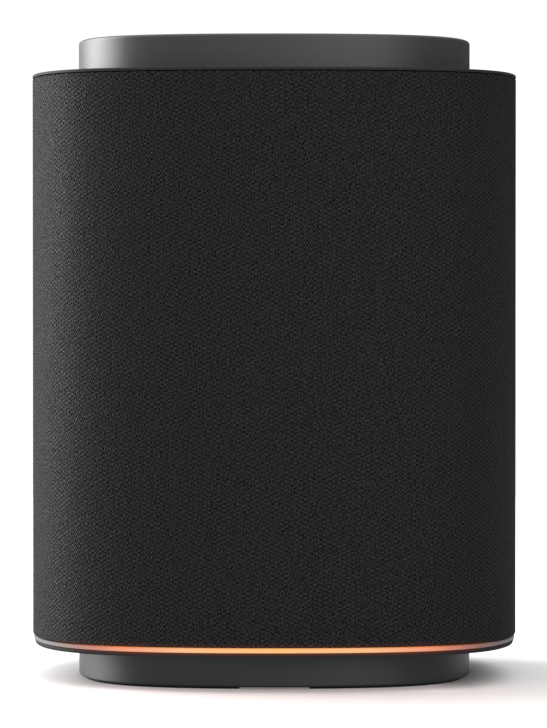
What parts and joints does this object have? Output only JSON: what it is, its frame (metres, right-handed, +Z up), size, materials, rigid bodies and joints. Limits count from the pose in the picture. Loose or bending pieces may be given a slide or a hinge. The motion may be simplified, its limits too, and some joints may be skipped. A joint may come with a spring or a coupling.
{
  "type": "smart speaker",
  "caption": "Upright fabric-wrapped smart speaker with a rounded-square plan, control cap, light strip, narrow base, drivers, boards and pressable buttons.",
  "frame": {"origin": "middle of the footprint, on the surface the feet rest on", "axes": "+Z up, the front of the speaker faces -Y, +X is to the right as seen from the front"},
  "size_m": [0.126, 0.126, 0.1646],
  "materials": {
    "satin_cover": "fine-textured satin anthracite",
    "woven_fabric": "tight plain weave of charcoal yarn",
    "light_diffuser": "frosted translucent, lit warm from behind",
    "soft_rubber": "matt moulded",
    "black_plastic": "matt moulded",
    "steel": "plated",
    "circuit_board": "solder mask",
    "aluminium": "extruded",
    "ferrite": "ground",
    "cone_paper": "pressed pulp",
    "copper_coil": "lacquered wire",
    "flat_cable": "flexible flat cable"
  },
  "bodies": {
    "cabinet": {"base_housing": "satin_cover", "rim_plate": "satin_cover", "top_deck": "satin_cover", "top_cap": "satin_cover", "fabric_sleeve": "woven_fabric", "light_strip": "light_diffuser", "foot_left": "soft_rubber", "foot_right": "soft_rubber", "woofer_surround": "soft_rubber", "woofer_gasket": "soft_rubber", "enclosure_gasket": "soft_rubber", "bottom_cover": "black_plastic", "power_inlet": "black_plastic", "lower_chassis": "black_plastic", "enclosure_tub": "black_plastic", "woofer_baffle": "black_plastic", "woofer_basket": "black_plastic", "tweeter_frame_left": "black_plastic", "tweeter_frame_right": "black_plastic", "upper_chassis": "black_plastic", "sound_spreader": "black_plastic", "grille_frame": "black_plastic", "control_panel": "black_plastic", "volume_up_switch": "black_plastic", "volume_down_switch": "black_plastic", "action_switch": "black_plastic", "microphone_off_switch": "black_plastic", "ballast_plate": "steel", "base_screw_1": "steel", "base_screw_2": "steel", "base_screw_3": "steel", "base_screw_4": "steel", "processor_shield": "steel", "woofer_screw_1": "steel", "woofer_screw_2": "steel", "woofer_screw_3": "steel", "woofer_screw_4": "steel", "woofer_top_plate": "steel", "woofer_yoke": "steel", "microphone_left": "steel", "microphone_right": "steel", "light_board": "circuit_board", "main_board": "circuit_board", "amplifier_board": "circuit_board", "control_board": "circuit_board", "heatsink": "aluminium", "woofer_magnet": "ferrite", "tweeter_motor_left": "ferrite", "tweeter_motor_right": "ferrite", "woofer_spider": "cone_paper", "ribbon_cable": "flat_cable"},
    "volume_up": {"volume_up_button": "satin_cover"},
    "volume_down": {"volume_down_button": "satin_cover"},
    "action": {"action_button": "satin_cover"},
    "microphone_off": {"microphone_off_button": "satin_cover"},
    "woofer_moving_set": {"woofer_cone": "cone_paper", "woofer_dust_cap": "cone_paper", "voice_coil": "copper_coil"},
    "tweeter_dome_set_left": {"tweeter_dome_left": "cone_paper"},
    "tweeter_dome_set_right": {"tweeter_dome_right": "cone_paper"}
  },
  "joints": [
    {"name": "volume_up_press", "type": "slide", "parent": "cabinet", "child": "volume_up", "axis": [0, 0, 1], "range_m": [-0.00045, 0], "stiffness_N_per_m": 300, "springref_m": 0.0008},
    {"name": "volume_down_press", "type": "slide", "parent": "cabinet", "child": "volume_down", "axis": [0, 0, 1], "range_m": [-0.00045, 0], "stiffness_N_per_m": 300, "springref_m": 0.0008},
    {"name": "action_press", "type": "slide", "parent": "cabinet", "child": "action", "axis": [0, 0, 1], "range_m": [-0.00045, 0], "stiffness_N_per_m": 300, "springref_m": 0.0008},
    {"name": "microphone_off_press", "type": "slide", "parent": "cabinet", "child": "microphone_off", "axis": [0, 0, 1], "range_m": [-0.00045, 0], "stiffness_N_per_m": 300, "springref_m": 0.0008},
    {"name": "woofer_stroke", "type": "slide", "parent": "cabinet", "child": "woofer_moving_set", "axis": [0, 0, 1], "range_m": [-0.0025, 0.0025], "stiffness_N_per_m": 1500, "deforming": ["woofer_surround", "woofer_spider"]},
    {"name": "tweeter_stroke_left", "type": "slide", "parent": "cabinet", "child": "tweeter_dome_set_left", "axis": [-0.5, -0.866, 0], "range_m": [-0.0002, 0.0002], "stiffness_N_per_m": 1500},
    {"name": "tweeter_stroke_right", "type": "slide", "parent": "cabinet", "child": "tweeter_dome_set_right", "axis": [0.5, -0.866, 0], "range_m": [-0.0002, 0.0002], "stiffness_N_per_m": 1500}
  ]
}
